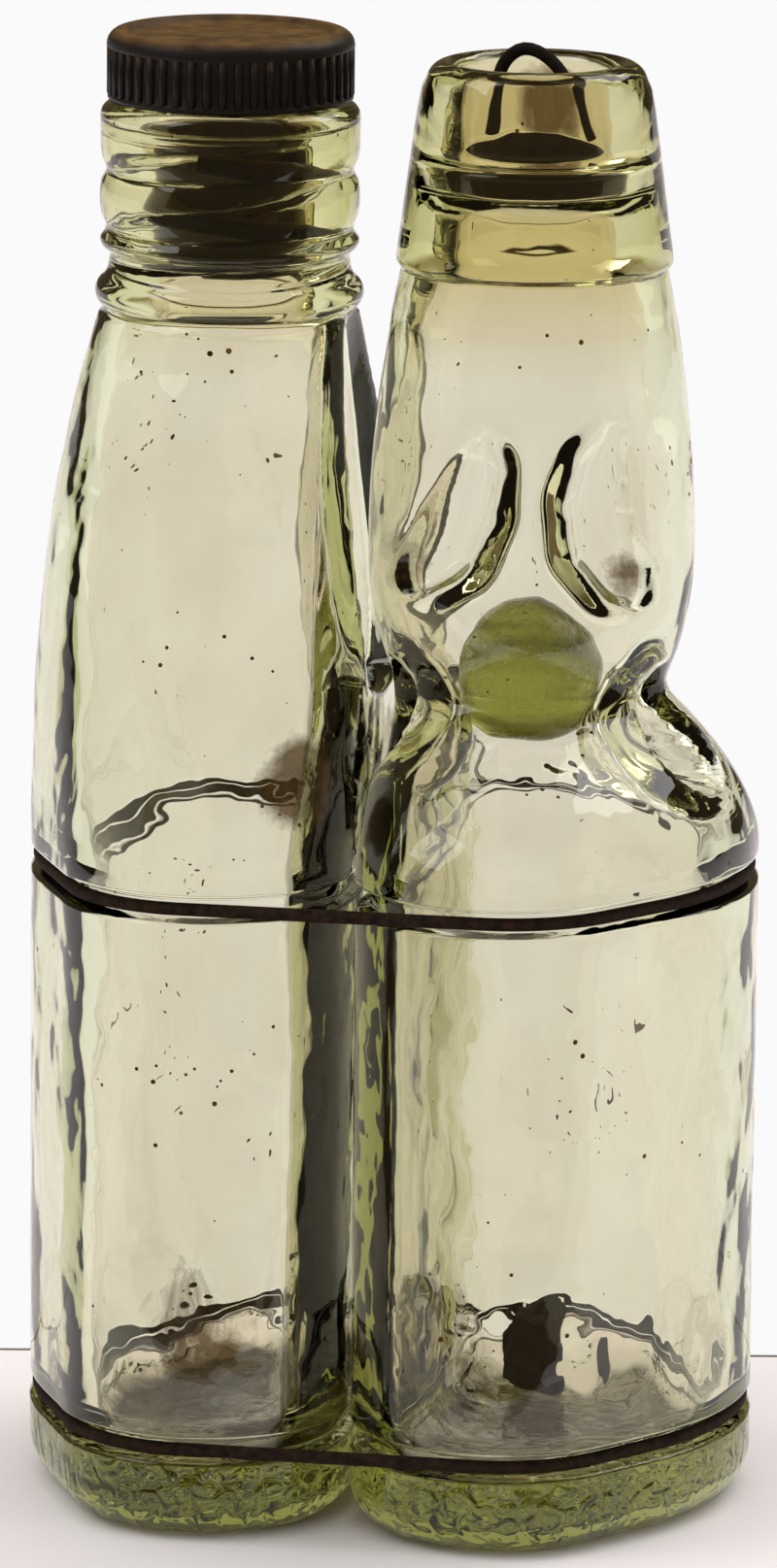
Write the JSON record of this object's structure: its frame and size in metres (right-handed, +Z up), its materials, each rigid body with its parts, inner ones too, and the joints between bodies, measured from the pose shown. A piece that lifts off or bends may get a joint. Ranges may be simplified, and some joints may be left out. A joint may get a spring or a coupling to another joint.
{
  "type": "twin glass bottle",
  "caption": "Twin glass bottle of D-shaped halves bound flat to flat by wires, with a threaded stopper in the sloping neck and a captive marble in the pinched neck.",
  "frame": {"origin": "middle of the bounding box, on the table plane", "axes": "+X from the screw half to the ball half, +Y to the back, +Z up"},
  "size_m": [0.081, 0.067, 0.1625],
  "materials": {
    "bottle_glass": "pale green-tinted blown glass, wavy and seedy",
    "marble_glass": "olive green glass, slightly pitted",
    "hard_rubber": "aged black-brown ebonite, satin",
    "washer_rubber": "perished red-brown rubber",
    "ring_rubber": "perished dark rubber",
    "dark_wire": "rusted iron wire",
    "rusty_wire": "rusted iron wire",
    "old_cork": "old, dark, soaked cork"
  },
  "bodies": {
    "bottle": {"screw_half": "bottle_glass", "ball_half": "bottle_glass", "sealing_ring": "ring_rubber", "mouth_wire": "dark_wire", "upper_wire": "rusty_wire", "lower_wire": "rusty_wire", "loose_cork": "old_cork"},
    "washer": {"stopper_washer": "washer_rubber"},
    "stopper": {"screw_stopper": "hard_rubber"},
    "marble": {"marble": "marble_glass"}
  },
  "joints": [
    {"name": "stopper_rise", "type": "slide", "parent": "bottle", "child": "washer", "axis": [0, 0, 1], "range_m": [0, 0.0163]},
    {"name": "stopper_turn", "type": "hinge", "parent": "washer", "child": "stopper", "pos_m": [-0.019, 0, 0.1548], "axis": [0, 0, 1], "range_deg": [0, 900]},
    {"name": "marble_rise", "type": "slide", "parent": "bottle", "child": "marble", "axis": [0, 0, 1], "range_m": [0, 0.0497]}
  ],
  "couplings": [
    {"joint": "stopper_rise", "follows": "stopper_turn", "m_per_rad": 0.0010345}
  ]
}
